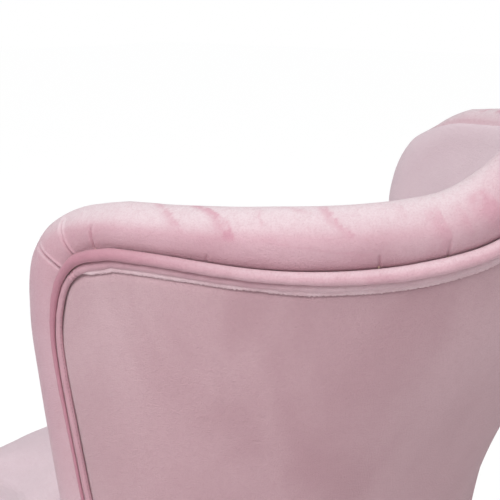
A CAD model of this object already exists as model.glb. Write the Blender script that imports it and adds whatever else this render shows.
"""Looks of an upholstered swivel glider for a nursery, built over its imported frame."""

import logging
import math
from collections.abc import Callable
from dataclasses import dataclass
from enum import Enum
from functools import cached_property

import bmesh
import bpy
import numpy as np
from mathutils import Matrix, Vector, noise


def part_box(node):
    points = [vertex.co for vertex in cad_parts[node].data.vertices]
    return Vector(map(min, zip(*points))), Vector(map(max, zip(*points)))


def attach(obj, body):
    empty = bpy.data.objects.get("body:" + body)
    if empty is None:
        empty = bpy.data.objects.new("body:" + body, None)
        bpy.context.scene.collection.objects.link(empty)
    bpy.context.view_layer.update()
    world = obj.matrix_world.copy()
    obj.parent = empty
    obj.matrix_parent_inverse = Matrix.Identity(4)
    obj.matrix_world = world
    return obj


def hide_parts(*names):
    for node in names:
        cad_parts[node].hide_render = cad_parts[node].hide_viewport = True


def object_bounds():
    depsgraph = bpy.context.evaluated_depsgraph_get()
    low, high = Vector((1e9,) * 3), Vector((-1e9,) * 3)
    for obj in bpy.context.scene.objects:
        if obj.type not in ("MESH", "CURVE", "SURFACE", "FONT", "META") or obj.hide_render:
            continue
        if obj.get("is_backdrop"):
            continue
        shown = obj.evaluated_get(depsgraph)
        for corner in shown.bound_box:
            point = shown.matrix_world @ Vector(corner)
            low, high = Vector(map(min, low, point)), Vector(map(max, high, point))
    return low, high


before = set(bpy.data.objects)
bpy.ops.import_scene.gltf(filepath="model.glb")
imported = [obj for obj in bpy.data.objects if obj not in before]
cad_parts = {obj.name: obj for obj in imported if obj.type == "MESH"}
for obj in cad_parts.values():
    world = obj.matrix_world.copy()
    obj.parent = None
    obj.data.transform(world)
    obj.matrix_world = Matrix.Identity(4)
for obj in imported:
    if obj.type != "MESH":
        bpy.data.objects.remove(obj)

log = logging.getLogger("glider")

Colour = tuple[int, int, int]
Triple = tuple[float, float, float]
Pair = tuple[float, float]
Table = tuple[tuple[float, ...], ...]
Row = np.ndarray
Piece = bpy.types.Object
Socket = bpy.types.NodeSocket


# ======== shader expressions
def operator(operation: str, reflected: bool = False) -> Callable[["Scalar", "Scalar | float"], "Scalar"]:
    """Method of a scalar that adds a Math node.

    Args:
        operation: the node's operation.
        reflected: whether the scalar is the second operand.

    Returns:
        The method.
    """
    def apply(self: "Scalar", other: "Scalar | float") -> "Scalar":
        """Result of the operation on the two operands."""
        return self.math(operation, *((other, self) if reflected else (self, other)))

    return apply


class Scalar:
    """A number that varies over a surface; an operator on it adds a Math node."""

    __add__, __radd__ = operator("ADD"), operator("ADD", True)
    __sub__, __rsub__ = operator("SUBTRACT"), operator("SUBTRACT", True)
    __mul__, __rmul__ = operator("MULTIPLY"), operator("MULTIPLY", True)
    __pow__, __rpow__ = operator("POWER"), operator("POWER", True)
    least, bearing = operator("MINIMUM"), operator("ARCTAN2")

    def __init__(self, graph: "Graph", socket: Socket) -> None:
        """Wrap an output socket of a graph's node."""
        self.graph = graph
        self.socket = socket

    def math(self, operation: str, *operands: "Scalar | float") -> "Scalar":
        """Output of a Math node on these operands."""
        return self.graph.scalar("ShaderNodeMath", {"operation": operation}, dict(enumerate(operands)))

    def __abs__(self) -> "Scalar":
        """Size without the sign."""
        return self.math("ABSOLUTE", self)

    def wave(self) -> "Scalar":
        """Sine."""
        return self.math("SINE", self)

    def ramp(self, low: float, high: float) -> "Scalar":
        """Smooth rise from 0 at the low value to 1 at the high one."""
        return self.graph.scalar("ShaderNodeMapRange", {"interpolation_type": "SMOOTHSTEP"},
                                 {0: self, 1: low, 2: high, 3: 0.0, 4: 1.0})


def linear(colour: Colour) -> tuple[float, ...]:
    """Linear light of a colour written as 0 to 255, with its alpha of 1."""
    shares = [value / 255 for value in colour]
    return *(share / 12.92 if share <= 0.04045 else ((share + 0.055) / 1.055) ** 2.4 for share in shares), 1.0


class Graph:
    """Node tree of a material or a world."""

    def __init__(self, owner: bpy.types.Material | bpy.types.World,
                 end: str = "ShaderNodeOutputMaterial") -> None:
        """Empty the owner's tree.

        Args:
            owner: whose tree it is.
            end: type of the tree's output node.
        """
        owner.use_nodes = True
        self.tree = owner.node_tree
        self.tree.nodes.clear()
        self.end = end

    @cached_property
    def place(self) -> Socket:
        """Object coordinates."""
        return self.node("ShaderNodeTexCoord").outputs["Object"]

    def node(self, kind: str, settings: dict | None = None, values: dict | None = None) -> bpy.types.Node:
        """Add a node.

        Args:
            kind: the node's type.
            settings: its own settings, set first.
            values: what goes into its sockets, by name or number: plain values, sockets, scalars, or
                nodes for their first output.

        Returns:
            The node.
        """
        made = self.tree.nodes.new(kind)
        for key, value in (settings or {}).items():
            setattr(made, key, value)
        for key, value in (values or {}).items():
            value = value.socket if isinstance(value, Scalar) else value
            value = value.outputs[0] if isinstance(value, bpy.types.Node) else value
            if isinstance(value, Socket):
                self.tree.links.new(value, made.inputs[key])
            else:
                made.inputs[key].default_value = value
        return made

    def scalar(self, kind: str, settings: dict, values: dict) -> Scalar:
        """First output of a new node as a scalar."""
        return Scalar(self, self.node(kind, settings, values).outputs[0])

    def noise(self, vector: Socket, scale: float, detail: float = 2.0, roughness: float = 0.5,
              distortion: float = 0.0) -> Scalar:
        """Soft random pattern.

        Args:
            vector: where on the surface.
            scale: features per metre.
            detail: octaves.
            roughness: share of the finer octaves.
            distortion: how far the pattern is drawn about.

        Returns:
            Values round a half.
        """
        return self.scalar("ShaderNodeTexNoise", {}, {"Vector": vector, "Scale": scale, "Detail": detail,
                                                      "Roughness": roughness, "Distortion": distortion})

    def stretched(self, factors: Triple, shift: Triple = (0.0, 0.0, 0.0)) -> Socket:
        """Object coordinates times a factor along each axis, then shifted."""
        return self.node("ShaderNodeVectorMath", {"operation": "MULTIPLY_ADD"},
                         {0: self.place, 1: factors, 2: shift}).outputs[0]

    def split(self, vector: Socket) -> tuple[Scalar, Scalar, Scalar]:
        """Three values of a vector."""
        node = self.node("ShaderNodeSeparateXYZ", {}, {0: vector})
        return tuple(Scalar(self, socket) for socket in node.outputs)

    def stored(self, name: str) -> bpy.types.NodeOutputs:
        """Outputs of a value that is stored on the piece's points."""
        return self.node("ShaderNodeAttribute", {"attribute_name": name}).outputs

    def mix(self, share: Scalar | float, first: object, second: object) -> Socket:
        """Blend two colours.

        Args:
            share: 0 gives the first, 1 the second.
            first: colour written as 0 to 255, or a socket.
            second: the same.

        Returns:
            The colour's socket.
        """
        first, second = (linear(value) if isinstance(value, tuple) else value for value in (first, second))
        return self.node("ShaderNodeMix", {"data_type": "RGBA"}, {0: share, 6: first, 7: second}).outputs[2]

    def coated(self, colour: object, *layers: tuple[Scalar | float, object]) -> Socket:
        """Colour under layers, each a share and a colour.

        Args:
            colour: the ground, written as 0 to 255, or a socket.
            layers: shares and colours, the lowest first.

        Returns:
            The colour's socket.
        """
        for share, layer in layers:
            colour = self.mix(share, colour, layer)
        return colour

    def surface(self, colour: Socket, roughness: Scalar | float, relief: tuple[Scalar, float, float],
                others: dict | None = None) -> None:
        """Finish a material with a Principled shader.

        Args:
            colour: its colour.
            roughness: its roughness.
            relief: height of 0 to 1, the metres that 1 stands for, and the strength.
            others: values of its other sockets.
        """
        bump = self.node("ShaderNodeBump", {}, dict(zip(("Height", "Distance", "Strength"), relief)))
        shader = self.node("ShaderNodeBsdfPrincipled", {}, {"Base Color": colour, "Roughness": roughness,
                                                            "Normal": bump, **(others or {})})
        self.node(self.end, {}, {0: shader})

    def shown(self, lit: bpy.types.Node, seen: bpy.types.Node, share: float) -> None:
        """Finish with two shaders.

        Args:
            lit: what lights the object.
            seen: what the camera, reflections and glass see.
            share: how much of it they see.
        """
        path = self.node("ShaderNodeLightPath").outputs
        rays = [Scalar(self, path[f"Is {ray} Ray"]) for ray in ("Camera", "Glossy", "Transmission")]
        direct = (rays[0] + rays[1] + rays[2]).least(1.0) * share
        self.node(self.end, {}, {0: self.node("ShaderNodeMixShader", {}, {0: direct, 1: lit, 2: seen})})


# ======== finishes
class Finish:
    """A surface finish that makes its material once."""

    name: str

    def paint(self, graph: Graph) -> None:
        """Fill the graph; each finish has its own way."""
        raise NotImplementedError

    def material(self) -> bpy.types.Material:
        """The finish's material, made at first use.

        Returns:
            The material.
        """
        found = bpy.data.materials.get(self.name)
        if found is None:
            found = bpy.data.materials.new(self.name)
            self.paint(Graph(found))
        return found


@dataclass(frozen=True)
class Velvet(Finish):
    """Short-pile velvet whose nap lies in soft patches, paler where it faces up."""

    name: str
    tone: Colour = (214, 174, 184)
    pressed: Colour = (192, 141, 154)
    raised: Colour = (228, 215, 218)
    comb: Triple = (1.0, 1.0, 1.0)
    patch: float = 7.0
    contrast: float = 0.5
    pale: float = 0.5
    bands: float = 0.0
    deepen: float = 0.0
    front: Pair = (-0.12, 0.16)
    dusk: Colour = (181, 124, 139)
    shade: float = 0.0
    stitch: float = 0.0
    folds: float = 0.0
    shift: Triple = (0.0, 0.0, 0.0)
    shade_edge: Pair = (0.46, 0.70)
    soft_edge: Pair = (0.36, 0.66)
    wide_edge: Pair = (0.32, 0.68)
    brush_edge: Pair = (0.30, 0.56)
    pile_edge: Pair = (0.38, 0.72)
    grain_edge: Pair = (0.42, 0.66)
    stitch_edge: Pair = (0.012, 0.035)
    crushed: Colour = (203, 143, 160)
    thread: Colour = (128, 88, 98)
    stitch_long: float = 0.0042
    stitch_at: float = 0.80
    pile_scale: float = 620.0
    grain_scale: float = 170.0
    fold_scale: float = 85.0
    brush_scale: float = 90.0

    def paint(self, graph: Graph) -> None:
        """Patches of nap, brushed bands, the pile's grain, its folds and its sheen.

        Args:
            graph: the material's empty node tree.
        """
        combed = graph.stretched(self.comb, self.shift)
        soft = graph.noise(combed, self.patch, 2.5, 0.55, 0.6).ramp(*self.soft_edge)
        wide = graph.noise(combed, self.patch * 0.31, 1.5, 0.5, 0.3).ramp(*self.wide_edge)
        upness = graph.split(graph.node("ShaderNodeNewGeometry").outputs["Normal"])[2]
        _, y, z = graph.split(graph.place)
        layers = [(soft * self.contrast, self.pressed), (wide * (0.7 * self.contrast), self.raised),
                  (upness.ramp(0.15, 1.0) * self.pale, self.raised)]
        if self.deepen:
            layers.append(((1 - y.ramp(*self.front)) * self.deepen, self.dusk))
        if self.shade:
            layers.append(((1 - z.ramp(*self.shade_edge)) * self.shade, self.pressed))
        if self.bands:
            mark = Scalar(graph, graph.stored("brushed")["Fac"])
            broken = graph.noise(combed, self.brush_scale, 3.0, 0.65).ramp(*self.brush_edge) * 0.75 + 0.25
            layers += [(mark.ramp(0.0, 1.0) * broken * self.bands, self.crushed),
                       ((0 - mark).ramp(0.0, 1.0), self.raised)]
        pile = graph.noise(graph.place, self.pile_scale, 3.0, 0.7)
        grain = graph.noise(graph.place, self.grain_scale, 2.5, 0.6)
        speckle = pile.ramp(*self.pile_edge) * 0.24 + grain.ramp(*self.grain_edge) * 0.10
        layers.append((speckle, self.pressed))
        height = pile * 0.9 + grain * 0.45
        if self.folds:
            folded = graph.noise(graph.stretched((1.0, 1.0, 1.0), self.shift), self.fold_scale, 2.0, 0.4, 1.2)
            height = height * 0.45 + folded * self.folds
        if self.stitch:
            along, _, share = graph.split(graph.stored("lie")["Vector"])
            thread = (along * (2 * math.pi / self.stitch_long)).wave().ramp(0.1, 0.6)
            line = thread * (1 - abs(share - self.stitch_at).ramp(*self.stitch_edge))
            layers.append((line * self.stitch, self.thread))
            height = height - line * 0.5
        graph.surface(graph.coated(self.tone, *layers), 0.88 - soft * 0.10, (height, 0.0015, 0.8),
                      {"Specular IOR Level": 0.15, "Sheen Weight": 0.35, "Sheen Roughness": 0.32,
                       "Sheen Tint": (1.0, 0.95, 0.96, 1.0)})


@dataclass(frozen=True)
class BentBeech(Finish):
    """Lacquered beech whose grain runs round a ring."""

    name: str
    centre: Pair
    light: Colour = (206, 165, 118)
    dark: Colour = (160, 112, 70)

    def paint(self, graph: Graph) -> None:
        """Growth rings by radius and height, short flecks along the bend.

        Args:
            graph: the material's empty node tree.
        """
        x, y, z = graph.split(graph.place)
        x, y = x - self.centre[0], y - self.centre[1]
        radius, turn = (x * x + y * y) ** 0.5, y.bearing(x)
        grain = graph.node("ShaderNodeCombineXYZ", {}, {0: radius, 1: z, 2: turn * 0.02}).outputs[0]
        rings = graph.noise(grain, 120.0, 4.0, 0.6, 0.4)
        flecks = graph.noise(grain, 900.0, 1.0, 0.5)
        colour = graph.coated(self.light, (rings.ramp(0.35, 0.7) * 0.75, self.dark),
                              (flecks.ramp(0.62, 0.70) * 0.4, self.dark))
        graph.surface(colour, 0.38 + rings * 0.12, (rings, 0.0003, 0.4), {"Coat Weight": 0.25})


@dataclass(frozen=True)
class Timber(Finish):
    """Planed wood with its grain along one axis."""

    name: str
    light: Colour
    dark: Colour
    along: Triple
    rings: float
    gloss: float

    def paint(self, graph: Graph) -> None:
        """Long grain with pores.

        Args:
            graph: the material's empty node tree.
        """
        run = graph.stretched(self.along)
        grain = graph.noise(run, self.rings, 5.0, 0.62, 0.7)
        pores = graph.noise(run, self.rings * 9, 1.0, 0.5)
        colour = graph.coated(self.light, (grain.ramp(0.35, 0.68), self.dark),
                              (pores.ramp(0.60, 0.72) * 0.35, self.dark))
        graph.surface(colour, self.gloss + grain * 0.15, (grain * 0.6 + pores * 0.4, 0.0004, 0.5))


@dataclass(frozen=True)
class PowderCoat(Finish):
    """Satin black powder coat with its fine orange peel."""

    name: str
    colour: Colour = (44, 44, 47)
    rubbed: Colour = (70, 70, 73)

    def paint(self, graph: Graph) -> None:
        """Peel and slight rubbing.

        Args:
            graph: the material's empty node tree.
        """
        peel = graph.noise(graph.place, 620.0, 2.0, 0.5)
        rub = graph.noise(graph.place, 22.0, 3.0, 0.6).ramp(0.55, 0.75)
        graph.surface(graph.mix(rub * 0.25, self.colour, self.rubbed), 0.42 + rub * 0.15, (peel, 0.0002, 0.6),
                      {"Coat Weight": 0.1})


@dataclass(frozen=True)
class Zinc(Finish):
    """Zinc-plated steel with a faint spangle."""

    name: str
    colour: Colour = (198, 200, 202)
    stained: Colour = (140, 142, 146)

    def paint(self, graph: Graph) -> None:
        """Cells of slightly different shine, and dull spots.

        Args:
            graph: the material's empty node tree.
        """
        spangle = graph.node("ShaderNodeTexVoronoi", {}, {"Vector": graph.place, "Scale": 260.0})
        dull = graph.noise(graph.place, 90.0, 3.0, 0.6).ramp(0.45, 0.75)
        colour = graph.coated(self.colour, (0.12, spangle.outputs["Color"]), (dull * 0.35, self.stained))
        graph.surface(colour, 0.30 + dull * 0.22, (dull, 0.0001, 0.4), {"Metallic": 1.0})


@dataclass(frozen=True)
class Moulded(Finish):
    """Moulded nylon or rubber."""

    name: str
    colour: Colour
    scuffed: Colour
    roughness: float

    def paint(self, graph: Graph) -> None:
        """Fine texture with scuffs.

        Args:
            graph: the material's empty node tree.
        """
        texture = graph.noise(graph.place, 1400.0, 2.0, 0.5)
        scuffs = graph.noise(graph.stretched((1.0, 4.0, 1.0)), 70.0, 3.0, 0.6).ramp(0.56, 0.72)
        graph.surface(graph.mix(scuffs * 0.5, self.colour, self.scuffed), self.roughness + scuffs * 0.1,
                      (texture, 0.00015, 0.5))


@dataclass(frozen=True)
class Weave(Finish):
    """Plain woven strap or cloth."""

    name: str
    thread: Colour
    shade: Colour
    pitch: float

    def paint(self, graph: Graph) -> None:
        """Warp and weft as crossed waves, with a slub here and there.

        Args:
            graph: the material's empty node tree.
        """
        x, y, _ = graph.split(graph.place)
        turns = math.pi / self.pitch
        warp, weft = (x * turns).wave(), (y * turns).wave()
        height = warp * weft * 0.5 + 0.5
        slub = graph.noise(graph.stretched((1.0, 0.1, 1.0)), 160.0, 2.0, 0.5).ramp(0.5, 0.8)
        graph.surface(graph.coated(self.shade, (height, self.thread), (slub * 0.3, self.shade)), 0.85,
                      (height, 0.0005, 0.6), {"Sheen Weight": 0.15})


class Nap(Enum):
    """How the velvet's pile lies on each part of the cover."""

    ROLL = Velvet("velvet_roll", tone=(217, 177, 187), bands=1.0, contrast=0.5, patch=8.0, pale=0.85,
                  deepen=0.8, front=(-0.205, -0.145), dusk=(186, 152, 163))
    PANEL = Velvet("velvet_panel", tone=(202, 167, 174), raised=(216, 188, 194),
                   pressed=(180, 141, 149), comb=(1.3, 1.3, 0.7), patch=7.0, contrast=0.65, pale=0.2,
                   shade=0.35)
    OUTER_CORD = Velvet("velvet_outer_cord", tone=(216, 178, 187), pressed=(181, 124, 139),
                        patch=12.0, contrast=0.35, folds=0.6, pale=0.55, deepen=0.85)
    INNER_CORD = Velvet("velvet_inner_cord", tone=(214, 178, 186), pressed=(190, 142, 154),
                        patch=14.0, contrast=0.4, folds=0.9, stitch=0.2, pale=0.3, deepen=0.5,
                        shift=(0.3, 0.1, 0.7))
    SELVAGE = Velvet("velvet_selvage", tone=(226, 196, 202), pressed=(205, 164, 173),
                     raised=(235, 212, 216), patch=40.0, contrast=0.5, pale=0.3)
    LINING = Velvet("velvet_lining", tone=(225, 205, 211), pressed=(213, 188, 196),
                    raised=(232, 217, 222), patch=4.0, contrast=0.35, pale=0.3)
    SEAT = Velvet("velvet_seat", tone=(216, 196, 202), pressed=(203, 178, 186),
                  raised=(224, 207, 213), patch=5.0, contrast=0.4, pale=0.2, shift=(1.0, 0.0, 0.2))
    BORDER = Velvet("velvet_border", tone=(208, 175, 183), comb=(1.4, 1.4, 0.5), patch=6.0, contrast=0.4)


# ======== outline of the tub
@dataclass(frozen=True)
class Tub:
    """Outside of the tub and the line of its piping, in metres; a station is 0 at the right arm's front,
    1 in the middle of the back and 2 at the left arm's front."""

    welt_z: float = 0.690
    arm_half: float = 0.382
    arm_front: float = -0.161
    back_y: float = 0.245
    toe_in: float = math.radians(0.8)
    arm_pull: float = 0.317
    back_pull: float = 0.140
    arm_lean: float = math.radians(2.2)
    back_lean: float = math.radians(24.0)
    lean_ease: float = 4.2
    turn_z: float = 0.480
    foot_side: float = 0.014
    foot_back: float = 0.166
    foot_ease: float = 5.5
    back_rise: float = 0.240
    rise_start: float = 0.44
    rise_power: float = 2.19
    corner_long: float = 0.088
    corner_tall: float = 0.105
    edge_set: float = -0.002
    edge_rake: float = 0.15
    edge_ease: float = 0.040
    arm_thick: float = 0.055
    back_thick: float = 0.078
    body_z: float = 0.088

    @property
    def along(self) -> Row:
        """Plan direction from an arm's front to its back."""
        return np.array([-math.sin(self.toe_in), math.cos(self.toe_in)])

    @property
    def pace(self) -> float:
        """Plan length per station at the arm's front."""
        return 3 * self.arm_pull

    def plan(self, t: Row) -> Row:
        """Point of the plan curve at each station up to 1.

        Args:
            t: stations.

        Returns:
            Points in plan.
        """
        start = np.array([self.arm_half, self.arm_front])
        handles = [start, start + self.along * self.arm_pull, np.array([self.back_pull, self.back_y]),
                   np.array([0.0, self.back_y])]
        s = 1 - t
        weights = [s ** 3, 3 * s * s * t, 3 * s * t * t, t ** 3]
        return sum(w[..., None] * p for w, p in zip(weights, handles))

    @staticmethod
    def ease(t: Row, rate: float) -> Row:
        """Rise from 0 to 1 along the plan, level at both ends."""
        return 1 - np.maximum(1 - t, 0) ** rate * (1 + rate * t)

    def lean(self, t: Row) -> Row:
        """Slope of the wall above the turn."""
        return np.tan(self.arm_lean + (self.back_lean - self.arm_lean) * self.ease(t, self.lean_ease))

    def lean_out(self, t: Row, z: Row) -> Row:
        """How far the outside stands out from the plan curve at a height.

        Args:
            t: stations up to 1.
            z: heights.

        Returns:
            Metres outwards.
        """
        slope = self.lean(t)
        share = (self.turn_z - z) / (self.turn_z - self.body_z)
        out = (self.turn_z - self.welt_z) * slope
        run = (self.body_z - self.turn_z) * slope
        foot = -self.foot_side - (self.foot_back - self.foot_side) * self.ease(t, self.foot_ease)
        return np.where(z >= self.turn_z, (z - self.welt_z) * slope,
                        out + run * share + (foot - out - run) * share ** 2)

    def outside(self, q: Row, z: Row, depth: Row | float = 0.0) -> Row:
        """Points at stations and heights, a horizontal depth inside the outside.

        Args:
            q: stations.
            z: heights.
            depth: how deep inside.

        Returns:
            The points.
        """
        q, z, depth = np.broadcast_arrays(np.asarray(q, float), z, depth)
        t = half(q, 2)
        on = np.maximum(t, 0.0)
        step = 0.002
        slope = self.plan(np.minimum(on + step, 1.0)) - self.plan(on - step)
        normal = np.stack([slope[..., 1], -slope[..., 0]], -1)
        normal /= np.linalg.norm(normal, axis=-1, keepdims=True)
        place = self.plan(on) + self.along * (self.pace * (t - on))[..., None]
        place = place + normal * (self.lean_out(on, z) - depth)[..., None]
        return np.stack([np.where(q <= 1, place[..., 0], -place[..., 0]), place[..., 1], z], -1)

    def piping_height(self, q: Row) -> Row:
        """Height of the piping line along the top.

        Args:
            q: stations.

        Returns:
            Heights.
        """
        t = half(q, 2)
        u = np.clip((t - self.rise_start) / (1 - self.rise_start), 0, 1)
        rise, rest = u ** self.rise_power, (1 - u) ** self.rise_power
        return self.welt_z + self.back_rise * rise / (rise + rest)

    def thick(self, q: Row) -> Row:
        """Thickness of the upholstered wall, square to it."""
        t = np.clip(half(q, 2), 0, 1)
        return self.arm_thick + (self.back_thick - self.arm_thick) * t * t * (3 - 2 * t)

    def front_edge(self, z: Row) -> Row:
        """Arm's front edge below its rounded corner, along the arm."""
        down = np.maximum(self.welt_z - self.corner_tall - z, 0.0)
        return self.edge_set + self.edge_rake * (down - self.edge_ease * (1 - np.exp(-down / self.edge_ease)))

    def station(self, along: Row, z: Row) -> Row:
        """Station of the outside's point a distance behind the arm's front, at a height.

        Args:
            along: distances behind the front.
            z: heights.

        Returns:
            Stations.
        """
        along, z = np.broadcast_arrays(np.asarray(along, float), np.asarray(z, float))
        start = np.array([self.arm_half, self.arm_front])
        low, high = np.zeros(along.shape), np.full(along.shape, 0.5)
        for _ in range(24):
            middle = (low + high) / 2
            short = (self.outside(middle, z)[..., :2] - start) @ self.along < along
            low, high = np.where(short, middle, low), np.where(short, high, middle)
        return np.where(along <= 0, along / self.pace, low)

    def edge(self, u: Row, bottom: float) -> tuple[Row, Row]:
        """Station and height on the piping line: 0-1 front edge, 1-2 corner, 2-3 top, 3-6 mirrored.

        Args:
            u: places along the line.
            bottom: height at which the line starts and ends.

        Returns:
            Stations and heights.
        """
        near = half(u, 6)
        corner_z = self.welt_z - self.corner_tall
        front_z = bottom + (corner_z - bottom) * np.clip(near, 0, 1)
        turn = np.radians(90 * np.clip(near - 1, 0, 1))
        round_z = self.welt_z - self.corner_tall * (1 - np.sin(turn))
        round_along = self.edge_set + self.corner_long * (1 - np.cos(turn))
        corner_end = float(self.station(self.edge_set + self.corner_long, self.welt_z))
        top_q = corner_end + (1 - corner_end) * (near - 2)
        q = np.where(near <= 1, self.station(self.front_edge(front_z), front_z),
                     np.where(near <= 2, self.station(round_along, round_z), top_q))
        z = np.where(near <= 1, front_z, np.where(near <= 2, round_z, self.piping_height(top_q)))
        return np.where(u > 3, 2 - q, q), z

    def edge_frame(self, u: Row, bottom: float) -> tuple[Row, Row, Row]:
        """Points of the piping line, outward normals, and directions off the panel's edge.

        Args:
            u: places along the line, 0 to 6.
            bottom: height at which the line starts and ends.

        Returns:
            Three arrays of vectors.
        """
        step, lift = 0.004, 0.001
        q, z = self.edge(u, bottom)
        ahead = self.outside(*self.edge(np.minimum(u + step, 6), bottom))
        behind = self.outside(*self.edge(np.maximum(u - step, 0), bottom))
        across = self.outside(q + step, z) - self.outside(q - step, z)
        upward = self.outside(q, z + lift) - self.outside(q, z - lift)
        normal = unit(np.cross(across, upward))
        return self.outside(q, z), normal, np.cross(normal, unit(ahead - behind))

    def spread(self, first: float, last: float, count: int, bottom: float) -> Row:
        """Evenly spaced places on the piping line.

        Args:
            first: place at which they start.
            last: place at which they end.
            count: how many.
            bottom: height at which the line starts and ends.

        Returns:
            The places.
        """
        u = np.linspace(first, last, 1200)
        run = along_path(self.outside(*self.edge(u, bottom)))
        return np.interp(np.linspace(0, run[-1], count), run, u)

    def off_edge(self, u: Row, bottom: float, distance: Row) -> tuple[Row, Row]:
        """Station and height of points on the outside a distance in from the piping line.

        Args:
            u: places along the line.
            bottom: height at which the line starts and ends.
            distance: metres in from it.

        Returns:
            Stations and heights.
        """
        q, z = self.edge(u, bottom)
        _, _, off = self.edge_frame(u, bottom)
        step, lift = 0.002, 0.001
        by_q = (self.outside(q + step, z) - self.outside(q - step, z)) / (2 * step)
        by_z = (self.outside(q, z + lift) - self.outside(q, z - lift)) / (2 * lift)
        move = -off * distance[:, None]
        a, b, c = dot(by_q, by_q), dot(by_q, by_z), dot(by_z, by_z)
        d, e = dot(by_q, move), dot(by_z, move)
        det = a * c - b * b
        return q + (d * c - e * b) / det, z + (e * a - d * b) / det


def unit(vectors: Row) -> Row:
    """Vectors of length 1."""
    return vectors / np.linalg.norm(vectors, axis=-1, keepdims=True)


def dot(a: Row, b: Row) -> Row:
    """Products of pairs of vectors."""
    return (a * b).sum(-1)


def half(places: Row, end: float) -> Row:
    """Places counted from the nearer of a line's two ends."""
    return np.minimum(places, end - places)


def along_path(paths: Row) -> Row:
    """Distance run at each point of a path, or of each of several paths."""
    steps = np.linalg.norm(np.diff(paths, axis=-2), axis=-1)
    return np.concatenate([np.zeros((*steps.shape[:-1], 1)), np.cumsum(steps, axis=-1)], -1)


def eased(x: Row) -> Row:
    """Smooth rise from 0 to 1."""
    x = np.clip(x, 0, 1)
    return x * x * (3 - 2 * x)


def lumps(points: Row, scale: float, seed: float) -> Row:
    """Gentle random swellings, about -1 to 1, at points.

    Args:
        points: where.
        scale: swellings per metre.
        seed: picks the pattern.

    Returns:
        A value for each point.
    """
    flat = points.reshape(-1, 3) * scale + seed
    values = [noise.noise(Vector(p)) for p in flat]
    return np.array(values).reshape(points.shape[:-1])


def wander(run: Row, scale: float, seed: float, lane: float = 0.0) -> Row:
    """Random sway, about -1 to 1, at distances along a line."""
    return np.array([noise.noise(Vector((r * scale, seed, lane))) for r in run])


def filled(edge: Callable[[Row], Row], side: Row, over: Row, bottom: float | None = None) -> tuple[Row, Row]:
    """Grid between the two front edges, the top edge and a level lower edge.

    Args:
        edge: station and height of the edge at places on the piping line.
        side: places up the right front edge.
        over: places along the top.
        bottom: height of the lower edge, the edge's own if it isn't given.

    Returns:
        Stations and heights, rows upwards and columns from right to left.
    """
    left, top, right = edge(side), edge(over), edge(6 - side)
    if bottom is not None:
        left[0, 1] = right[0, 1] = bottom
    low = np.stack([np.linspace(left[0, 0], right[0, 0], len(over)), np.full(len(over), left[0, 1])], -1)
    s = np.linspace(0, 1, len(over))[None, :, None]
    t = np.linspace(0, 1, len(side))[:, None, None]
    corners = ((1 - s) * (1 - t) * low[0] + s * (1 - t) * low[-1] + (1 - s) * t * top[0] + s * t * top[-1])
    grid = (1 - s) * left[:, None] + s * right[:, None] + (1 - t) * low[None] + t * top[None] - corners
    return grid[..., 0], grid[..., 1]


def from_rim(grid: Row) -> Row:
    """Distance of a grid's points from the nearest point of its sides and top.

    Args:
        grid: rows by columns by 3.

    Returns:
        Rows by columns.
    """
    rim = np.concatenate([grid[:, 0], grid[-1], grid[::-1, -1]])
    flat, batch = grid.reshape(-1, 3), 2000
    found = [np.sqrt(((flat[k:k + batch, None] - rim[None]) ** 2).sum(-1).min(1))
             for k in range(0, len(flat), batch)]
    return np.concatenate(found).reshape(grid.shape[:-1])


# ======== meshes
def surface(name: str, points: Row, ring: bool = False, caps: bool = False) -> Piece:
    """Smooth mesh through a grid of points.

    Args:
        name: the piece's name.
        points: rows by columns by 3.
        ring: whether each row closes on itself.
        caps: whether the first and last rows are filled.

    Returns:
        The object, in the scene.
    """
    rows, columns = points.shape[:2]
    grid = np.arange(rows * columns).reshape(rows, columns)
    if ring:
        grid = np.concatenate([grid, grid[:, :1]], 1)
    faces = np.stack([grid[:-1, :-1], grid[:-1, 1:], grid[1:, 1:], grid[1:, :-1]], -1).reshape(-1, 4).tolist()
    if caps:
        faces += [list(range(columns)), list(range((rows - 1) * columns, rows * columns))[::-1]]
    mesh = bpy.data.meshes.new(name)
    mesh.from_pydata(points.reshape(-1, 3).tolist(), [], faces)
    mesh.validate()
    mesh.polygons.foreach_set("use_smooth", [True] * len(mesh.polygons))
    made = bpy.data.objects.new(name, mesh)
    bpy.context.scene.collection.objects.link(made)
    face_outwards(made)
    return made


def store(piece: Piece, name: str, kind: str, values: Row) -> None:
    """Keep values on a piece's points for its finish."""
    field = "vector" if kind == "FLOAT_VECTOR" else "value"
    piece.data.attributes.new(name, kind, "POINT").data.foreach_set(field, values.astype(np.float32).ravel())


def lay(piece: Piece, along: Row, around: Row, share: Row) -> None:
    """Store where each point lies on a sewn piece.

    Args:
        piece: the object.
        along: metres along it.
        around: metres round it.
        share: share of the way round it.
    """
    store(piece, "lie", "FLOAT_VECTOR", np.stack(np.broadcast_arrays(along, around, share), -1))


def face_outwards(piece: Piece) -> None:
    """Turn all faces the same way, outwards.

    Args:
        piece: the object.
    """
    work = bmesh.new()
    work.from_mesh(piece.data)
    bmesh.ops.recalc_face_normals(work, faces=work.faces)
    work.to_mesh(piece.data)
    work.free()


def dress(piece: Piece, nap: "Nap", fill: float | None = None, *nodes: str) -> Piece:
    """Give a sewn piece its velvet and its place in the frame.

    Args:
        piece: the object.
        nap: how its pile lies.
        fill: how soft its filling is, if it has any.
        nodes: the frame's solids that it stands for.

    Returns:
        The piece.
    """
    piece.data.materials.clear()
    piece.data.materials.append(nap.value.material())
    if nodes:
        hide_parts(*nodes)
    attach(piece, "seat_unit")
    return piece


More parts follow.
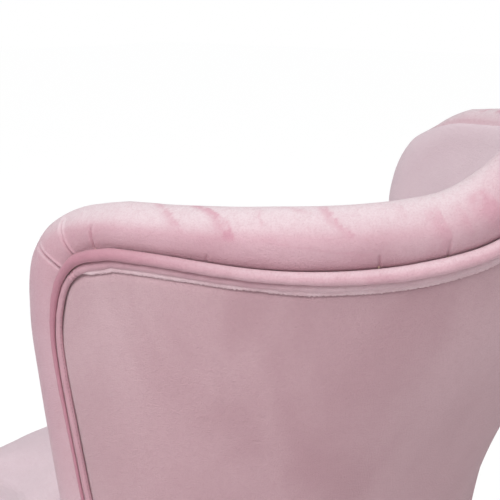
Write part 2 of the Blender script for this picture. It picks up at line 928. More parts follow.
def tube(name: str, path: Row, aside: Row, upward: Row, wide: Row | float, tall: Row | float,
         sides: int) -> Piece:
    """Closed cord along a path.

    Args:
        name: the piece's name.
        path: its middle line.
        aside: first direction across it at each point.
        upward: second direction across it.
        wide: half its width along the first.
        tall: half its width along the second.
        sides: corners of its section.

    Returns:
        The object.
    """
    turn = np.linspace(0, 2 * math.pi, sides, endpoint=False)
    wide, tall = (np.broadcast_to(np.asarray(size, float).reshape(-1, 1), (len(path), sides))
                  for size in (wide, tall))
    rings = (path[:, None] + aside[:, None] * (wide * np.cos(turn))[..., None]
             + upward[:, None] * (tall * np.sin(turn))[..., None])
    return surface(name, rings, ring=True, caps=True)


# ======== cover of the tub
def table_at(table: Table, places: Row, blur: float, column: int = 1) -> Row:
    """One of a table's columns at places, with its corners rounded over a width of twice the blur."""
    columns = tuple(zip(*table))
    return sum(np.interp(places + blur * k, columns[0], columns[column]) for k in (-1, -0.5, 0, 0.5, 1)) / 5


@dataclass(frozen=True)
class Sewing:
    """Where the cover is sewn along half of the piping line: place, and how far below the line the roll meets
    the outer cord and the inner cord meets the panel."""

    seams: Table = (
        (0.00, 0.0043, 0.0205), (0.50, 0.0051, 0.0192), (0.66, 0.0060, 0.0194), (0.80, 0.0078, 0.0216),
        (0.95, 0.0062, 0.0200), (1.08, 0.0061, 0.0194), (1.23, 0.0048, 0.0188), (1.33, 0.0032, 0.0176),
        (1.45, 0.0010, 0.0156), (1.56, 0.0004, 0.0160), (1.66, -0.0014, 0.0175), (1.80, -0.0002, 0.0200),
        (1.95, -0.0004, 0.0200), (2.05, -0.0038, 0.0158), (2.13, -0.0006, 0.0184), (2.20, 0.0030, 0.0218),
        (2.28, 0.0032, 0.0238), (2.36, 0.0008, 0.0226), (2.41, -0.0024, 0.0206), (2.46, -0.0044, 0.0192),
        (2.51, -0.0004, 0.0236), (2.55, 0.0050, 0.0284), (2.62, 0.0070, 0.0296), (2.75, 0.0040, 0.0250),
        (3.00, 0.0020, 0.0215))
    blur: float = 0.035

    def crease_at(self, u: Row) -> Row:
        """Where the roll meets the outer cord."""
        return table_at(self.seams, half(u, 6), self.blur)

    def panel_at(self, u: Row) -> Row:
        """Where the inner cord meets the panel."""
        return table_at(self.seams, half(u, 6), self.blur, 2)


@dataclass(frozen=True)
class Pleat:
    """A fold in the roll's cover, in metres and turns: it starts at the piping and dies out up the roll."""

    place: float
    reach: float
    drift: float
    deep: float
    proud: float
    wide: float


@dataclass(frozen=True)
class Mark:
    """A stroke where the roll's pile was brushed over, as places and turns along its middle."""

    path: Table
    wide: float
    strength: float


@dataclass(frozen=True)
class RollShape:
    """Stuffed size of the roll along the piping line, right arm and left."""

    right: Table = (
        (0.0, 0.050), (0.6, 0.0495), (0.75, 0.0475), (0.9, 0.046), (1.15, 0.0465), (1.35, 0.0515),
        (1.5, 0.0485), (1.6, 0.0435), (1.73, 0.038), (1.84, 0.034), (1.94, 0.0335), (2.05, 0.036),
        (2.16, 0.0372), (2.31, 0.0385), (2.43, 0.043), (2.5, 0.041), (2.55, 0.039), (2.6, 0.035),
        (2.68, 0.036), (2.8, 0.046), (3.0, 0.061))
    left: Table = (
        (0.0, 0.048), (0.9, 0.045), (1.15, 0.044), (1.35, 0.045), (1.5, 0.043), (1.6, 0.038), (1.7, 0.0355),
        (1.8, 0.038), (1.92, 0.043), (2.03, 0.050), (2.1, 0.053), (2.25, 0.053), (2.45, 0.050), (2.6, 0.048),
        (2.8, 0.052), (3.0, 0.061))
    right_thick: Table = ((0.0, 0.055), (0.4, 0.055), (0.65, 0.056), (0.8, 0.066),
                                                    (1.0, 0.078))
    seam: Table = ((0.0, 100.0), (1.5, 100.0), (1.62, 104.0), (1.76, 128.0), (1.9, 140.0),
                                             (2.1, 149.0), (3.0, 150.0))
    blur: float = 0.03
    thick_blur: float = 0.05
    seam_blur: float = 0.04

    def height(self, u: Row) -> Row:
        """How far the roll stands off the piping line."""
        return np.where(u <= 3, table_at(self.right, u, self.blur), table_at(self.left, 6 - u, self.blur))

    def thick(self, tub: Tub, q: Row) -> Row:
        """Thickness of the wall and its roll."""
        return np.where(q <= 1, table_at(self.right_thick, np.clip(q, 0, 1), self.thick_blur), tub.thick(q))

    def seam_turn(self, u: Row) -> Row:
        """Turn round the roll at which the lining's seam lies, in radians."""
        return np.radians(table_at(self.seam, half(u, 6), self.seam_blur))


@dataclass
class EdgeRoll:
    """Padded roll along the tub's edge: lengths in metres, places round it as turns in radians."""

    tub: Tub
    sewing: Sewing
    shape: RollShape
    overhang: float = 0.0030
    tuck: float = 0.0040
    spacing: float = 0.0035
    fine: float = 0.0011
    groove: float = 0.0012
    sharp: float = 0.16
    faded: float = 1.1
    middle: float = 0.25
    mark_end: float = 0.3
    pleat_zone: float = 0.016
    gather: float = 0.0009
    gather_turn: float = 0.40
    full_dip: float = 0.0045
    full_lip: float = 0.0036
    overhang_turn: float = 0.75
    overhang_wide: float = 0.40
    tuck_turn: float = 0.62
    crease_turn: float = 1.1
    seam_wide: float = 0.10
    turns: int = 49
    bunched: float = 1.15
    hem: float = 0.0055
    hem_in: float = 0.0004
    wobbles: Table = ((0.0034, 42.0, 2.2), (0.0016, 130.0, 5.2))
    swells: Table = ((0.0012, 9.0, 4.2), (0.0005, 24.0, 11.0))
    pleats: tuple[Pleat, ...] = (
        Pleat(1.862, 0.72, 0.024, 0.0038, 0.0020, 0.0016),
        Pleat(1.657, 1.45, 0.014, 0.0044, 0.0022, 0.0018),
        Pleat(1.505, 1.25, -0.060, 0.0038, 0.0020, 0.0018),
        Pleat(2.365, 0.42, -0.004, 0.0017, 0.0004, 0.0012),
        Pleat(2.470, 0.55, 0.004, 0.0014, 0.0004, 0.0014),
        Pleat(2.130, 0.22, 0.002, 0.0012, 0.0002, 0.0015),
    )
    marks: tuple[Mark, ...] = (
        Mark(((2.040, 1.95), (2.078, 1.19), (2.098, 0.77)), 0.0140, 0.50),
        Mark(((2.090, 2.00), (2.133, 1.40), (2.155, 1.05), (2.167, 0.66)), 0.0170, 0.62),
        Mark(((2.160, 1.33), (2.180, 1.50)), 0.0060, 0.40),
        Mark(((2.196, 1.45), (2.208, 1.01)), 0.0060, 0.40),
        Mark(((2.238, 1.75), (2.266, 1.42)), 0.0150, 0.32),
        Mark(((2.290, 1.70), (2.306, 1.08), (2.324, 0.84)), 0.0120, 0.52),
        Mark(((2.220, 0.62), (2.270, 0.50), (2.345, 0.36)), 0.0200, 0.35),
        Mark(((2.395, 1.60), (2.402, 1.20)), 0.0120, 0.25),
        Mark(((2.462, 1.20), (2.470, 0.70), (2.466, 0.10)), 0.0200, 0.42),
        Mark(((2.505, 1.15), (2.512, 0.49)), 0.0140, 0.30),
        Mark(((2.556, 1.25), (2.562, 0.73), (2.566, 0.05)), 0.0300, 0.50),
        Mark(((2.650, 1.50), (2.668, 0.60)), 0.0220, 0.40),
        Mark(((1.220, 1.20), (1.340, 0.70)), 0.0140, 0.30),
        Mark(((0.750, 1.10), (0.860, 0.60)), 0.0150, 0.30),
        Mark(((2.860, 1.60), (2.900, 0.90), (2.905, 0.50)), 0.0180, 0.45),
        Mark(((2.930, 1.30), (2.985, 1.10)), 0.0160, 0.40),
    )

    def brushed(self, u: Row, turn: Row, run: Row, around: Row, points: Row) -> Row:
        """How far the pile is brushed over at each point, each mark sharp behind and faded in front.

        Args:
            u: places along the piping line.
            turn: turns round the roll.
            run: metres along the line at the places.
            around: metres round the roll at each point.
            points: the points.

        Returns:
            A share for each point.
        """
        total = np.zeros(around.shape)
        place = run[:, None] + sum(size * lumps(points, scale, seed) for size, scale, seed in self.wobbles)
        for mark in self.marks:
            for side in (1, -1):
                keys = np.array(mark.path)
                along = np.interp(keys[:, 0] if side > 0 else 6 - keys[:, 0], u, run)
                middle = np.interp(turn, keys[::-1, 1], along[::-1])
                away = side * (place - middle[None]) / mark.wide
                over, under = keys[0, 1] + self.middle - turn, turn - keys[-1, 1] + self.middle
                ends = eased(over / self.mark_end) * eased(under / self.mark_end)
                edge = 1 - eased(np.where(away > 0, away / self.sharp, (-away - self.middle) / self.faded))
                total = np.maximum(total, mark.strength * edge * ends[None])
        return total

    def places(self, bottom: float) -> Row:
        """Places on the piping line, closer together at the pleats.

        Args:
            bottom: height at which the line starts and ends.

        Returns:
            The places.
        """
        u = np.linspace(0, 6, 4000)
        run = along_path(self.tub.outside(*self.tub.edge(u, bottom)))
        density = np.full(len(u), 1 / self.spacing)
        for pleat in self.pleats:
            for place in (pleat.place, 6 - pleat.place):
                middle = np.interp(place, u, run)
                density += np.exp(-((run - middle) / self.pleat_zone) ** 2) / self.fine
        amount = np.concatenate([[0], np.cumsum(np.diff(run) * (density[1:] + density[:-1]) / 2)])
        return np.interp(np.linspace(0, amount[-1], int(amount[-1])), amount, u)

    def folds(self, u: Row, turn: Row, run: Row) -> tuple[Row, Row]:
        """Height of the pleats and gathers over the dome, and how far the pile is crushed in them.

        Args:
            u: places along the piping line.
            turn: turns round the roll.
            run: metres along the line at the places.

        Returns:
            Heights in metres, and shares that are negative where the pile is raised.
        """
        height = np.zeros((len(u), len(turn)))
        crushed = np.zeros(height.shape)
        for pleat in self.pleats:
            for place, side in ((pleat.place, 1), (6 - pleat.place, -1)):
                start = np.interp(place, u, run)
                end = np.interp(place + side * pleat.drift, u, run)
                middle = start + (end - start) * np.minimum(turn / pleat.reach, 1.0)
                away = side * (run[:, None] - middle[None])
                fade = 1 - eased((turn / pleat.reach - 0.45) / 0.55)[None]
                lip = pleat.proud * np.exp(-((away - 0.9 * pleat.wide) / (0.62 * pleat.wide)) ** 2)
                dip = pleat.deep * np.exp(-((away + 0.6 * pleat.wide) / (1.0 * pleat.wide)) ** 2)
                height += fade * (lip - dip)
                crushed = np.maximum(crushed, fade * dip / self.full_dip) - fade * lip / self.full_lip
        near = np.exp(-(turn / self.gather_turn) ** 2)
        return height - (self.gather * wander(run, 36.0, 3.7))[:, None] * near[None], crushed

    def dome(self, u: Row, turn: Row, bottom: float) -> tuple[Row, Row]:
        """Stuffed surface without its folds.

        Args:
            u: places along the piping line.
            turn: turns round the roll, the same for all places or a row for each.
            bottom: height at which the roll starts.

        Returns:
            Its points and outward directions.
        """
        point, normal, off = self.tub.edge_frame(u, bottom)
        q, _ = self.tub.edge(u, bottom)
        deep, height = self.shape.thick(self.tub, q)[:, None], self.shape.height(u)[:, None]
        turn = np.broadcast_to(turn, (len(u), np.shape(turn)[-1]))
        stands = self.overhang * np.exp(-((turn - self.overhang_turn) / self.overhang_wide) ** 2)
        across = deep / 2 * (1 - np.cos(turn)) - stands
        across = across + self.tuck * np.maximum(1 - turn / self.tuck_turn, 0) ** 2
        crease = self.sewing.crease_at(u)[:, None]
        up = height * np.sin(turn) - crease * np.maximum(1 - turn / self.crease_turn, 0) ** 2
        points = point[:, None] - normal[:, None] * across[..., None] + off[:, None] * up[..., None]
        out = normal[:, None] * np.cos(turn)[..., None] + off[:, None] * np.sin(turn)[..., None]
        swell = sum(size * lumps(points, scale, seed) for size, scale, seed in self.swells)
        return points + out * (swell * np.sin(turn) ** 0.5)[..., None], out

    def build(self) -> list[Piece]:
        """Make and dress the roll.

        Returns:
            It, in a list.
        """
        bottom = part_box("edge_roll")[0].z
        u = self.places(bottom)
        turn = math.pi * np.linspace(0, 1, self.turns) ** self.bunched
        points, out = self.dome(u, turn, bottom)
        run = along_path(points[:, 0])
        around = along_path(points)
        seam = self.shape.seam_turn(u)[:, None]
        folded, crushed = self.folds(u, turn, run)
        raised = folded - self.groove * np.exp(-((turn - seam) / self.seam_wide) ** 2)
        points = points + out * raised[..., None]
        point, normal, off = self.tub.edge_frame(u, bottom)
        deep = self.shape.thick(self.tub, self.tub.edge(u, bottom)[0])
        share = np.linspace(1, 0, 7)[1:-1]
        base = point[:, None] - normal[:, None] * (deep[:, None] * share + self.tuck * (1 - share))[..., None]
        below = self.hem + self.sewing.crease_at(u)
        hem = point - normal * (self.tuck + self.hem_in) - off * below[:, None]
        rings = np.concatenate([points, base + off[:, None] * self.hem_in, hem[:, None]], 1)
        rings[..., 2] = np.maximum(rings[..., 2], bottom)
        piece = surface("edge_roll_cover", rings, ring=True, caps=True)
        widened = np.concatenate([around, np.repeat(around[:, -1:], len(share), 1), around[:, :1]], 1)
        lay(piece, np.repeat(run[:, None], rings.shape[1], 1), widened, widened / around[:, -1:])
        brushed = np.zeros(widened.shape)
        strokes = self.brushed(u, turn, run, around, points)
        brushed[:, :len(turn)] = np.where(np.abs(crushed) > strokes, crushed, strokes)
        store(piece, "brushed", "FLOAT", brushed)
        return [dress(piece, Nap.ROLL, 0.8, "edge_roll")]


@dataclass
class Piping:
    """Twin cords between the roll and the outer panel, and the trimmed edge of cloth below them."""

    tub: Tub
    sewing: Sewing
    outer_share: Table = ((0.0, 0.12), (0.80, 0.13), (1.20, 0.23), (1.42, 0.270))
    inner_share: Table = ((0.0, 0.28), (0.80, 0.27), (1.20, 0.24), (1.42, 0.225))
    gap: Table = ((0.0, 0.0032), (0.80, 0.0030), (1.20, 0.0014), (1.42, 0.0008))
    outer_flat: float = 1.02
    inner_flat: float = 0.88
    outer_proud: float = 0.0020
    inner_proud: float = -0.0012
    sunk: float = 0.96
    spacing: float = 0.003
    start: float = 0.002
    folds: tuple[float, ...] = (1.566, 1.600, 4.400, 4.434)
    fold_wide: float = 0.0013
    fold_deep: float = 0.36
    fold_zone: tuple[float, float, int] = (1.53, 1.64, 110)
    stray: float = 0.0004
    swelling: Pair = (0.05, 0.04)
    sides: int = 16
    edge_from: Pair = (1.64, 0.12)
    edge_below: float = 0.0024
    edge_hidden: float = 0.004
    edge_step: float = 0.0007
    edge_ragged: Table = ((0.0013, 520.0, 1.0), (0.0009, 24.0, 6.0))
    edge_shape: Table = ((0.005, 0.0004), (0.0022, 0.0006), (0.0003, 0.0006), (0.0, -0.0002), (0.0, -0.0032))

    def cord(self, name: str, outer: bool, seed: float) -> Piece:
        """Fabric-covered cord beside the piping line.

        Args:
            name: the piece's name.
            outer: whether it is the one next to the roll.
            seed: picks its own unevenness.

        Returns:
            The bare tube.
        """
        bottom = self.tub.body_z + self.start
        close = np.linspace(*self.fold_zone)
        even = self.tub.spread(0, 6, int(3.4 / self.spacing), bottom)
        u = np.unique(np.concatenate([even, close, 6 - close]))
        point, normal, off = self.tub.edge_frame(u, bottom)
        run, near = along_path(point), half(u, 6)
        sway, pinch = wander(run, 14.0, seed), wander(run, 70.0, seed, 5.0)
        top, low = self.sewing.crease_at(u), self.sewing.panel_at(u)
        share, proud, flat = ((self.outer_share, self.outer_proud, self.outer_flat) if outer
                              else (self.inner_share, self.inner_proud, self.inner_flat))
        tall = (low - top) * table_at(share, near, 0.0)
        drop = top + tall * self.sunk if outer else low - tall - table_at(self.gap, near, 0.0)
        notch = sum(np.exp(-((run - np.interp(place, u, run)) / self.fold_wide) ** 2)
                    for place in (() if outer else self.folds))
        drop, proud = drop + self.stray * sway, proud + self.stray * pinch
        middle = point - off * drop[:, None] + normal * proud[:, None]
        swell = 1 + self.swelling[0] * sway + self.swelling[1] * pinch - self.fold_deep * notch
        made = tube(name, middle, normal, off, tall * flat * swell, tall * swell, self.sides)
        share = np.linspace(0, 1, self.sides, endpoint=False)[None]
        lay(made, run[:, None], share * 2 * math.pi * (tall * flat)[:, None], share)
        return made

    def selvage(self) -> Piece:
        """Slightly ragged edge of cloth that shows below the inner cord along the top.

        Returns:
            The bare strip.
        """
        bottom = self.tub.body_z + self.start
        u = self.tub.spread(1.62, 4.38, int(2.0 / self.edge_step), bottom)
        point, normal, off = self.tub.edge_frame(u, bottom)
        run = along_path(point)
        hidden = self.edge_hidden * (1 - eased((half(u, 6) - self.edge_from[0]) / self.edge_from[1]))
        ragged = sum(size * wander(run, scale, seed) for size, scale, seed in self.edge_ragged)
        reach = self.sewing.panel_at(u) + self.edge_below + ragged - hidden
        rows = [point - off * (reach - back)[:, None] + normal * height for back, height in self.edge_shape]
        piece = surface("cord_selvage", np.stack(rows))
        lay(piece, np.tile(run, len(rows)), 0.0, 0.0)
        return piece

    def build(self) -> list[Piece]:
        """Make and dress both cords and the edge below them.

        Returns:
            The three pieces.
        """
        return [dress(self.cord("outer_cord", True, 2.0), Nap.OUTER_CORD, 1.0, "welt_outer"),
                dress(self.cord("inner_cord", False, 7.0), Nap.INNER_CORD, 1.0, "welt_inner"),
                dress(self.selvage(), Nap.SELVAGE)]


@dataclass
class OuterPanel:
    """Cover of the outside, tucked under the inner cord."""

    tub: Tub
    sewing: Sewing
    rows: int = 96
    columns: int = 300
    tuck: float = 0.0034
    roll_in: float = 0.0046
    soft: float = 0.011
    tuck_ends: Pair = (0.85, 0.5)
    dent: float = 0.0007
    lift: float = 0.0006
    hem: float = 0.004
    hem_tall: float = 0.0114

    def build(self) -> list[Piece]:
        """Make and dress the panel.

        Returns:
            It, in a list.
        """
        low_end = self.tub.body_z
        bottom = low_end + self.lift
        side = self.tub.spread(0, 1.5, self.rows, low_end)
        over = self.tub.spread(1.5, 4.5, self.columns, low_end)

        def border(u: Row) -> Row:
            """Station and height of the border, tucked in twice as far at the front.

            Args:
                u: places along the piping line.

            Returns:
                Stations and heights side by side.
            """
            tuck = self.tuck * (2 - eased((half(u, 6) - self.tuck_ends[0]) / self.tuck_ends[1]))
            q, z = self.tub.off_edge(u, low_end, self.sewing.panel_at(u) - tuck)
            return np.stack([q, np.maximum(z, bottom)], -1)

        q, z = filled(border, side, over, bottom)
        flat = self.tub.outside(q, z)
        depth = self.roll_in * (1 - eased(from_rim(flat) / self.soft)) - self.dent * lumps(flat, 7.0, 1.3)
        hem = self.tub.outside(q[0], z[0], depth[0] + self.hem)
        inside = self.tub.outside(q[0], z[0] + self.hem_tall, depth[0] + self.hem + 0.0005)
        face = self.tub.outside(q, z, depth)
        piece = surface("outer_cover", np.concatenate([inside[None], hem[None], face]))
        return [dress(piece, Nap.PANEL, 0.2, "outer_panel")]


@dataclass
class Lining:
    """Padded cover of the arms' and back's inner faces, drawn over the roll's inner side to its seam."""

    tub: Tub
    roll: EdgeRoll
    rows: int = 96
    columns: int = 260
    proud: float = 0.0018
    bulge: float = 0.0050
    soft: float = 0.080
    rounding: float = 0.010
    sunk: float = 0.0016
    lump: float = 0.0022
    drawn: int = 7

    def flank(self, u: Row, bottom: float) -> Row:
        """Strip over the roll's inner side, from the seam to the wall's inner face.

        Args:
            u: places along the piping line.
            bottom: height at which the line starts and ends.

        Returns:
            Points, a row for each place.
        """
        seam = self.roll.shape.seam_turn(u)[:, None]
        share = np.linspace(0, 1, 22) ** 1.3
        points, out = self.roll.dome(u, seam + (math.pi - seam) * share, bottom)
        rise = np.sqrt(np.maximum(1 - np.maximum(1 - along_path(points) / self.rounding, 0) ** 2, 0))
        return points + out * (-self.sunk + (self.proud + self.sunk) * rise)[..., None]

    def build(self) -> list[Piece]:
        """Make and dress the padded inside.

        Returns:
            It, in a list.
        """
        bottom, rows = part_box("edge_roll")[0].z, self.rows
        side = self.tub.spread(0, 1.6, rows, bottom)
        over = self.tub.spread(1.6, 4.4, self.columns, bottom)

        def foot(u: Row) -> Row:
            """Station and height of the roll's inner foot.

            Args:
                u: places along the piping line.

            Returns:
                Stations and heights side by side.
            """
            q, z = self.tub.edge(u, bottom)
            _, normal, _ = self.tub.edge_frame(u, bottom)
            return np.stack([q, z - normal[:, 2] * self.roll.shape.thick(self.tub, q)], -1)

        q, z = filled(foot, side, over)
        slope = self.tub.lean(np.clip(half(q, 2), 0, 1))
        inner = self.roll.shape.thick(self.tub, q) * np.hypot(1, slope)
        flat = self.tub.outside(q, z, inner)
        full = eased(from_rim(flat) / self.soft)
        stand = self.proud + self.bulge * full + self.lump * lumps(flat, 5.0, 8.8) * full
        wall = self.tub.outside(q, z, inner + stand)
        flank = self.flank(np.concatenate([side, over[1:-1], (6 - side)[::-1]]), bottom)
        right, top, left = flank[:rows, -1], flank[rows:-rows, -1], flank[-rows:, -1][::-1]
        pulls = right - wall[:, 0], left - wall[:, -1], top - wall[-1, 1:-1]
        for k in range(self.drawn):
            fade = 1 - eased(k / (self.drawn - 1))
            wall[:, k] += pulls[0] * fade
            wall[:, -1 - k] += pulls[1] * fade
            wall[-1 - k, 1:-1] += pulls[2] * fade
        wall[:, 0], wall[:, -1], wall[-1, 1:-1] = right, left, top
        piece = surface("inside_cover", wall)
        self.join(piece, surface("inside_cover_edge", flank))
        return [dress(piece, Nap.LINING, 0.6, "back_pad", "arm_pad_right", "arm_pad_left")]

    @staticmethod
    def join(piece: Piece, strip: Piece) -> None:
        """Sew a strip to a piece along the points that they share.

        Args:
            piece: the object that stays.
            strip: the object that is taken up in it.
        """
        work = bmesh.new()
        work.from_mesh(piece.data)
        work.from_mesh(strip.data)
        bmesh.ops.remove_doubles(work, verts=work.verts, dist=0.0012)
        bmesh.ops.recalc_face_normals(work, faces=work.faces)
        for face in work.faces:
            face.smooth = True
        work.to_mesh(piece.data)
        work.free()
        bpy.data.objects.remove(strip)


# ======== seat
@dataclass
class Seat:
    """T-shaped loose cushion, and the padded border round the seat's front."""

    tub: Tub
    front: float = -0.361
    voxel: float = 0.007
    rise: float = 0.022
    held: float = 0.004
    free_from: Pair = (0.075, 0.03)
    spread: float = 0.0012
    spread_ahead: float = 0.007
    steps: int = 20
    pressure: float = 4.0
    stiffness: float = 18.0
    sag: float = 0.0150
    sag_from: Pair = (0.11, 0.31)
    sag_aside: Pair = (0.07, 0.27)
    flatten: float = 0.30
    crown: float = 0.066
    tall: float = 0.080
    corner: float = 0.022
    gap: float = 0.0008
    tucked: float = 0.009
    band_rows: int = 44
    band_round: float = 0.0035
    band_soft: float = 0.012
    cord: float = 0.0036
    cord_in: float = 0.004
    cord_gap: float = 0.012
    cord_sides: int = 12
    behind_arm: float = 0.0105
    under_arm: float = 0.0044

    def blank(self) -> Piece:
        """Copy of the frame's cushion, remeshed evenly.

        Returns:
            The copy.
        """
        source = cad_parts["seat_cushion"]
        mesh = source.data.copy()
        mesh.name = "seat_cushion_cover"
        piece = bpy.data.objects.new("seat_cushion_cover", mesh)
        bpy.context.scene.collection.objects.link(piece)
        remesh = piece.modifiers.new("Even", "REMESH")
        remesh.mode = "VOXEL"
        remesh.voxel_size = self.voxel
        self.settle(piece)
        return piece

    @staticmethod
    def settle(piece: Piece) -> None:
        """Apply all modifiers of a piece.

        Args:
            piece: the object.
        """
        made = bpy.data.meshes.new_from_object(piece.evaluated_get(bpy.context.evaluated_depsgraph_get()))
        piece.modifiers.clear()
        piece.data = made
        made.name = piece.name

    @staticmethod
    def places(piece: Piece) -> Row:
        """Places of a piece's points.

        Args:
            piece: the object.

        Returns:
            Points by 3.
        """
        flat = np.empty(len(piece.data.vertices) * 3)
        piece.data.vertices.foreach_get("co", flat)
        return flat.reshape(-1, 3)

    @staticmethod
    def move(piece: Piece, places: Row) -> None:
        """Give a piece's points new places."""
        piece.data.vertices.foreach_set("co", places.ravel())
        piece.data.update()

    def puff(self, piece: Piece) -> None:
        """Swell the cushion as cloth under pressure, up freely and sideways hardly at all.

        Args:
            piece: the cushion.
        """
        before = self.places(piece)
        base = before[:, 2].min()
        held = piece.vertex_groups.new(name="held")
        held.add(np.nonzero(before[:, 2] < base + self.held)[0].tolist(), 1.0, "ADD")
        cloth = piece.modifiers.new("Swell", "CLOTH")
        cloth.settings.quality = 4
        cloth.settings.use_pressure = True
        cloth.settings.uniform_pressure_force = self.pressure
        cloth.settings.tension_stiffness = cloth.settings.compression_stiffness = self.stiffness
        cloth.settings.effector_weights.gravity = 0.0
        cloth.settings.vertex_group_mass = "held"
        cloth.collision_settings.use_collision = False
        cloth.point_cache.frame_start, cloth.point_cache.frame_end = 1, self.steps
        for step in range(1, self.steps + 1):
            bpy.context.scene.frame_set(step)
        swollen = piece.evaluated_get(bpy.context.evaluated_depsgraph_get())
        after = self.places(swollen)
        piece.modifiers.clear()
        bpy.context.scene.frame_set(1)
        swelling = after - before
        up = np.clip(swelling[:, 2], -0.001, self.rise)
        aside = swelling[:, :2]
        length = np.linalg.norm(aside, axis=1, keepdims=True)
        ahead = eased((self.tub.arm_front - self.free_from[0] - before[:, 1]) / self.free_from[1])[:, None]
        limit = self.spread + (self.spread_ahead - self.spread) * ahead
        aside = aside * np.minimum(1, limit / np.maximum(length, 1e-9))
        piece.vertex_groups.clear()
        self.move(piece, before + np.column_stack([aside, up]))

    def slope(self, piece: Piece) -> None:
        """Draw the cushion's top down towards its front, most in the middle, as a sprung front does.

        Args:
            piece: the cushion.
        """
        spots = self.places(piece)
        low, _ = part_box("seat_cushion")
        ahead = eased((self.tub.arm_front + self.sag_from[0] - spots[:, 1]) / self.sag_from[1])
        between = 1 - eased((np.abs(spots[:, 0]) - self.sag_aside[0]) / self.sag_aside[1])
        share = np.clip((spots[:, 2] - low.z) / self.tall, 0, 1)
        crown = np.maximum(spots[:, 2] - low.z - self.crown, 0)
        spots[:, 2] -= ahead * share * (self.flatten * crown + self.sag * between)
        self.move(piece, spots)

    def cushion(self) -> Piece:
        """Make and dress the cushion.

        Returns:
            The piece.
        """
        piece = self.blank()
        self.puff(piece)
        self.slope(piece)
        smooth = piece.modifiers.new("Fine", "SUBSURF")
        smooth.levels = smooth.render_levels = 1
        self.settle(piece)
        piece.data.polygons.foreach_set("use_smooth", [True] * len(piece.data.polygons))
        return dress(piece, Nap.SEAT, 0.7, "seat_cushion")

    def border_path(self, z: float, depth: float, behind: float) -> Row:
        """Plan line of the seat's border at a height.

        Args:
            z: height.
            depth: how far inside the outside it runs.
            behind: gap that it leaves before the arms' front edge.

        Returns:
            Points from the right arm round the front to the left arm.
        """
        tub = self.tub
        start = float(tub.station(tub.front_edge(np.array(z)), np.array(z))) - behind / tub.pace
        behind_arm = np.array(start + self.behind_arm / tub.pace)
        hidden = tub.outside(behind_arm, np.array(z), max(depth, self.under_arm))
        first = tub.outside(np.array(start), np.array(z), depth)
        front = self.front + depth
        ahead = tub.outside(np.array((front - tub.arm_front) / tub.pace), np.array(z), depth)
        radius = self.corner - depth
        side_q = np.linspace(start, (front + radius - tub.arm_front) / tub.pace, 40)
        side = tub.outside(side_q, np.full(40, z), depth)
        turn = np.linspace(0, math.pi / 2, 9)[1:-1]
        centre = np.array([ahead[0] - radius, front + radius, z])
        arc = centre + radius * np.stack([np.cos(turn), -np.sin(turn), np.zeros(len(turn))], -1)
        inward = np.linspace(ahead[0] - radius, 0, 60)
        straight = np.stack([inward, np.full(60, front), np.full(60, z)], -1)
        right = np.concatenate([hidden[None], first[None], side[1:], arc, straight])
        left = right[::-1][1:] * np.array([-1.0, 1.0, 1.0])
        return np.concatenate([right, left])

    def border(self) -> list[Piece]:
        """Make and dress the padded band and the cord along its top.

        Returns:
            Both pieces.
        """
        low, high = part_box("front_border")
        heights = np.linspace(low.z + 0.0005, high.z - 0.0005, self.band_rows)
        edges = np.minimum(heights - heights[0], heights[-1] - heights) * (high.z - low.z) / np.ptp(heights)
        depths = self.band_round * (1 - eased(edges / self.band_soft))
        rows = [self.border_path(float(z), float(depth), self.gap) for z, depth in
                zip([heights[0], *heights, heights[-1]], [self.tucked, *depths, self.tucked])]
        points = np.stack(rows)
        points = points + np.array([0.0, 1.0, 0.0]) * (0.0008 * lumps(points, 9.0, 6.0))[..., None]
        band = surface("seat_border_cover", points)
        path = self.border_path(high.z + self.cord, self.cord_in, self.cord_gap)
        above = np.tile([0.0, 0.0, 1.0], (len(path), 1))
        aside = unit(np.cross(unit(np.gradient(path, axis=0)), above))
        cord = tube("border_cord", path, aside, above, self.cord, self.cord, self.cord_sides)
        return [dress(band, Nap.BORDER, 0.3, "front_border"), dress(cord, Nap.BORDER, 1.0)]

    def build(self) -> list[Piece]:
        """Cushion, band and cord, made and dressed."""
        return [self.cushion(), *self.border()]


# ======== frame, glide and base
@dataclass
class Hardware:
    """Finishes of the wooden frame, the glide and the base, which keep the frame's own shapes."""

    swivel: Pair

    def finishes(self) -> dict[str, Finish]:
        """Finish for the start of each solid's name.

        Returns:
            Finishes by those starts.
        """
        groups = {
            "floor_glides stop_studs": Moulded("pad_rubber", (38, 38, 40), (70, 70, 72), 0.75),
            "base_ring": BentBeech("bent_beech", self.swivel),
            "base_cross swivel_plate carrier_frame hanger link_ seat_bracket": PowderCoat("powder_coat"),
            "ring_screws plate_bolts bracket_screws king_ lower_bearing_plate upper_pivot lower_pivot":
                Zinc("zinc_plate"),
            "bearing_cage front_link_bushes rear_link_bushes":
                Moulded("white_nylon", (226, 224, 216), (200, 197, 188), 0.42),
            "front_rail back_rail side_rail runner corner_blocks arm_frame wing_post back_top_rail":
                Timber("beech", (208, 168, 124), (172, 126, 84), (1.0, 0.07, 1.0), 70.0, 0.55),
            "arm_board back_board":
                Timber("birch_ply", (222, 196, 156), (196, 160, 116), (1.0, 1.0, 0.07), 55.0, 0.6),
            "seat_webbing": Weave("elastic_webbing", (196, 182, 156), (120, 104, 82), 0.0028),
            "deck_pad": Weave("deck_cloth", (214, 196, 196), (176, 150, 154), 0.0016),
        }
        return {start: finish for starts, finish in groups.items() for start in starts.split()}

    def build(self) -> list[Piece]:
        """Give every solid that the covers don't replace its material.

        Returns:
            Those solids.
        """
        table, dressed = self.finishes(), []
        for name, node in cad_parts.items():
            finish = next((table[start] for start in table if name.startswith(start)), None)
            if finish:
                node.data.materials.clear()
                node.data.materials.append(finish.material())
                dressed.append(node)
        return dressed


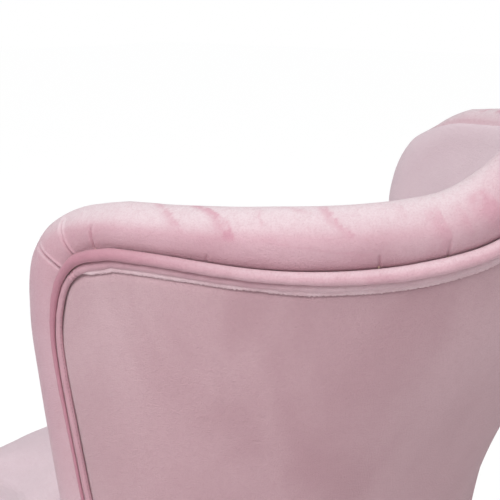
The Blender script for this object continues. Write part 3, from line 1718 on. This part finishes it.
# ======== room, light and camera
@dataclass
class Studio:
    """Pale floor, soft light and the camera."""

    eye: Triple = (0.8223, 0.4383, 0.8906)
    gaze: Triple = (-0.7463, -0.6007, -0.2867)
    lens: float = 59.39
    fill: float = 0.475
    floor_reach: float = 14.0
    lamps: tuple[tuple[str, Triple, Triple, float, float], ...] = (
        ("key", (2.12, 0.75, 2.95), (0.1, 0.0, 0.6), 1.6, 71.0),
        ("overhead", (-0.4, -0.6, 3.2), (0.0, 0.0, 0.6), 3.0, 8.0),
        ("front", (0.3, -3.2, 1.6), (0.0, 0.0, 0.6), 2.4, 2.0),
        ("behind", (-1.8, 2.6, 2.2), (0.0, 0.1, 0.6), 2.4, 14.0))

    def floor(self) -> None:
        """Plain pale floor that keeps the chair's shadow and shows white."""
        mesh, reach = bpy.data.meshes.new("floor"), self.floor_reach
        mesh.from_pydata([(-reach, -reach, 0), (reach, -reach, 0), (reach, reach, 0), (-reach, reach, 0)], [],
                         [(0, 1, 2, 3)])
        floor = bpy.data.objects.new("floor", mesh)
        bpy.context.scene.collection.objects.link(floor)
        material = bpy.data.materials.new("pale_floor")
        graph = Graph(material)
        matt = graph.node("ShaderNodeBsdfDiffuse", {}, {"Color": (0.86, 0.86, 0.86, 1.0)})
        white = graph.node("ShaderNodeEmission", {}, {"Color": (1.0, 1.0, 1.0, 1.0), "Strength": 1.06})
        graph.shown(matt, white, 0.9)
        mesh.materials.append(material)
        floor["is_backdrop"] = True

    def sky(self) -> None:
        """Even light from all round, white where it is seen."""
        world = bpy.data.worlds.new("studio")
        bpy.context.scene.world = world
        graph = Graph(world, "ShaderNodeOutputWorld")
        fill, white = (graph.node("ShaderNodeBackground", {}, {"Color": (*colour, 1.0), "Strength": strength})
                       for colour, strength in (((0.97, 0.98, 1.0), self.fill), ((1.0, 1.0, 1.0), 1.0)))
        graph.shown(fill, white, 1.0)

    @staticmethod
    def lamp(name: str, place: Triple, target: Triple, size: float, power: float) -> None:
        """Add a large soft lamp.

        Args:
            name: its name.
            place: where it stands.
            target: what it points at.
            size: its diameter in metres.
            power: its power in watts.
        """
        light = bpy.data.lights.new(name, "AREA")
        light.shape = "DISK"
        light.size = size
        light.energy = power
        lamp = bpy.data.objects.new(name, light)
        lamp.location = place
        lamp.rotation_euler = (Vector(target) - Vector(place)).to_track_quat("-Z", "Y").to_euler()
        bpy.context.scene.collection.objects.link(lamp)

    def camera(self) -> None:
        """Camera behind the right arm, looking down at it."""
        data = bpy.data.cameras.new("camera")
        data.lens = self.lens
        data.sensor_width = 36.0
        data.clip_start = 0.02
        made = bpy.data.objects.new("camera", data)
        made.location = self.eye
        made.rotation_euler = Vector(self.gaze).to_track_quat("-Z", "Y").to_euler()
        bpy.context.scene.collection.objects.link(made)
        bpy.context.scene.camera = made

    def build(self) -> None:
        """Set the room up."""
        bpy.context.scene.view_settings.view_transform = "Standard"
        self.sky()
        self.floor()
        for lamp in self.lamps:
            self.lamp(*lamp)
        self.camera()


def corners() -> list[list[float]]:
    """Lowest and highest corner of the object as plain numbers."""
    return [list(corner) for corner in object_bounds()]


def main() -> None:
    """Build the chair's looks piece by piece."""
    logging.basicConfig(level=logging.INFO, format="%(message)s")
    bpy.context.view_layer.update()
    low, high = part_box("lower_bearing_plate")
    tub, sewing = Tub(), Sewing()
    roll = EdgeRoll(tub, sewing, RollShape())
    for part in (roll, Piping(tub, sewing), OuterPanel(tub, sewing), Lining(tub, roll), Seat(tub),
                 Hardware(((low.x + high.x) / 2, (low.y + high.y) / 2))):
        for piece in part.build():
            log.info("%s: %d points, %s", piece.name, len(piece.data.vertices), piece.data.materials[0].name)
    Studio().build()


if __name__ == "__main__":
    main()
